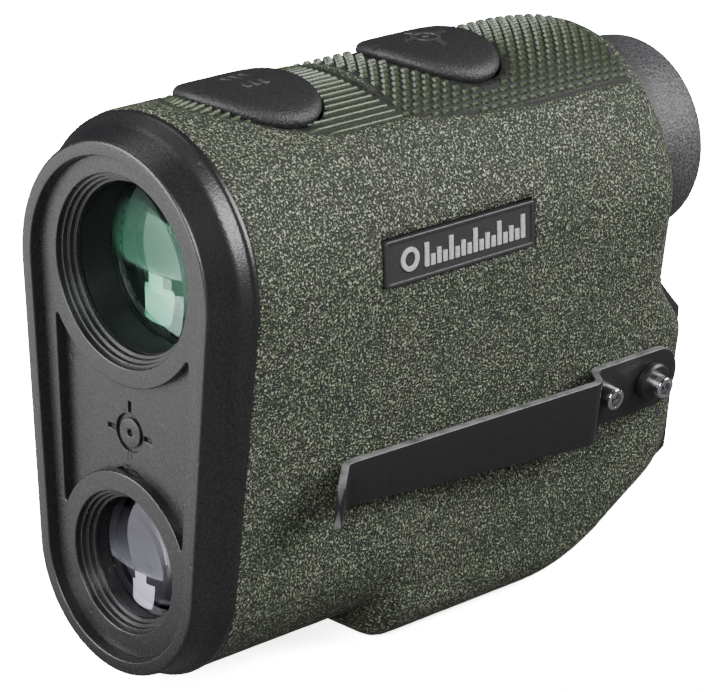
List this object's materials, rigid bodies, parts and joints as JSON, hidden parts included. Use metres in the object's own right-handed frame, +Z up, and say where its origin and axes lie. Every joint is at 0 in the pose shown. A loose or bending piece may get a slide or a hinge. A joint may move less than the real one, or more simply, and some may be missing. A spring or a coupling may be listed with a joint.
{
  "type": "laser rangefinder",
  "caption": "Hand-held laser rangefinder: tapered oval rubber-armoured body, stacked lenses in a black bezel, twist-up eyecup, top buttons, steel belt clip, screwed battery cap.",
  "frame": {"origin": "centre of the flat under the belly, on which the rangefinder rests", "axes": "+Z up; the lenses look along -Y and the eyepiece is at +Y; the belt clip is on +X"},
  "size_m": [0.0489, 0.1066, 0.0879],
  "materials": {
    "bezel_plastic": "fine satin moulding texture",
    "seal_rubber": "plain moulded",
    "armor_rubber": "dark green pebble grain",
    "housing_plastic": "glass-filled nylon, as moulded",
    "screw_steel": "zinc plated",
    "badge_metal": "black lacquer, bare raised border",
    "clip_steel": "black satin coating",
    "screw_chrome": "polished",
    "insert_brass": "knurled, as turned",
    "barrel_aluminium": "black anodised",
    "objective_glass": "green anti-reflection coating",
    "receiver_glass": "violet anti-reflection coating",
    "eye_glass": "blue anti-reflection coating",
    "plain_glass": "polished",
    "can_steel": "nickel plated",
    "board_laminate": "green solder mask",
    "chip_plastic": "moulded package",
    "ribbon_film": "amber film",
    "contact_steel": "nickel plated",
    "button_rubber": "fine matt texture",
    "eyepiece_plastic": "fine texture",
    "eyecup_rubber": "fine matt texture",
    "cap_plastic": "fluted, satin",
    "tab_steel": "satin",
    "cell_wrap": "printed wrap left plain"
  },
  "bodies": {
    "chassis": {"front_bezel": "bezel_plastic", "bezel_gasket": "seal_rubber", "rubber_armor": "armor_rubber", "housing_left": "housing_plastic", "housing_right": "housing_plastic", "housing_screws": "screw_steel", "badge_plate": "badge_metal", "belt_clip": "clip_steel", "clip_washer": "clip_steel", "clip_screws": "screw_chrome", "clip_inserts": "insert_brass", "objective_barrel": "barrel_aluminium", "objective_lens": "objective_glass", "objective_flint": "plain_glass", "objective_spacer": "barrel_aluminium", "objective_retainer": "barrel_aluminium", "prism_holder": "housing_plastic", "roof_prism": "plain_glass", "display_panel": "plain_glass", "laser_diode": "can_steel", "receiver_barrel": "barrel_aluminium", "receiver_lens": "receiver_glass", "receiver_retainer": "barrel_aluminium", "receiver_sensor": "can_steel", "main_board": "board_laminate", "board_chips": "chip_plastic", "board_screws": "screw_steel", "button_board": "board_laminate", "tact_switches": "can_steel", "ribbon_cable": "ribbon_film", "eyepiece_tube": "barrel_aluminium", "battery_tube": "housing_plastic", "spring_contact": "contact_steel", "battery_spring": "contact_steel"},
    "menu_key": {"menu_button": "button_rubber"},
    "measure_key": {"measure_button": "button_rubber"},
    "diopter": {"diopter_ring": "eyepiece_plastic"},
    "cup": {"eyecup": "eyecup_rubber"},
    "ocular": {"ocular_cell": "barrel_aluminium", "field_lens": "plain_glass", "ocular_spacer": "barrel_aluminium", "eye_lens": "eye_glass", "ocular_retainer": "barrel_aluminium"},
    "cap_slide": {"cap_seal": "seal_rubber"},
    "cap": {"battery_cap": "cap_plastic", "cap_contact": "contact_steel", "tab_pin": "screw_steel"},
    "tab": {"cap_tab": "tab_steel"},
    "cell": {"battery_cell": "cell_wrap"}
  },
  "joints": [
    {"name": "menu_press", "type": "slide", "parent": "chassis", "child": "menu_key", "axis": [0, 0, -1], "range_m": [0, 0.0006], "stiffness_N_per_m": 1500},
    {"name": "measure_press", "type": "slide", "parent": "chassis", "child": "measure_key", "axis": [0, 0, -1], "range_m": [0, 0.0006], "stiffness_N_per_m": 1500},
    {"name": "diopter_turn", "type": "hinge", "parent": "chassis", "child": "diopter", "pos_m": [0, 0.034, 0.0646], "axis": [0, 1, 0], "range_deg": [-60, 60]},
    {"name": "ocular_focus", "type": "slide", "parent": "chassis", "child": "ocular", "axis": [0, 1, 0], "range_m": [-0.001, 0.001]},
    {"name": "eyecup_extend", "type": "slide", "parent": "diopter", "child": "cup", "axis": [0, 1, 0], "range_m": [0, 0.004]},
    {"name": "cap_pull", "type": "slide", "parent": "chassis", "child": "cap_slide", "axis": [0, 1, 0], "range_m": [0, 0.06]},
    {"name": "cap_turn", "type": "hinge", "parent": "cap_slide", "child": "cap", "pos_m": [0, 0.038, 0.0288], "axis": [0, 1, 0], "range_deg": [0, 540]},
    {"name": "tab_flip", "type": "hinge", "parent": "cap", "child": "tab", "pos_m": [0, 0.0403, 0.0288], "axis": [1, 0, 0], "range_deg": [0, 90]},
    {"name": "cell_slide", "type": "slide", "parent": "chassis", "child": "cell", "axis": [0, 1, 0], "range_m": [0, 0.0361]}
  ],
  "couplings": [
    {"joint": "ocular_focus", "follows": "diopter_turn", "m_per_rad": 0.00095},
    {"joint": "cell_slide", "follows": "cap_pull", "ratio": 0.6}
  ]
}
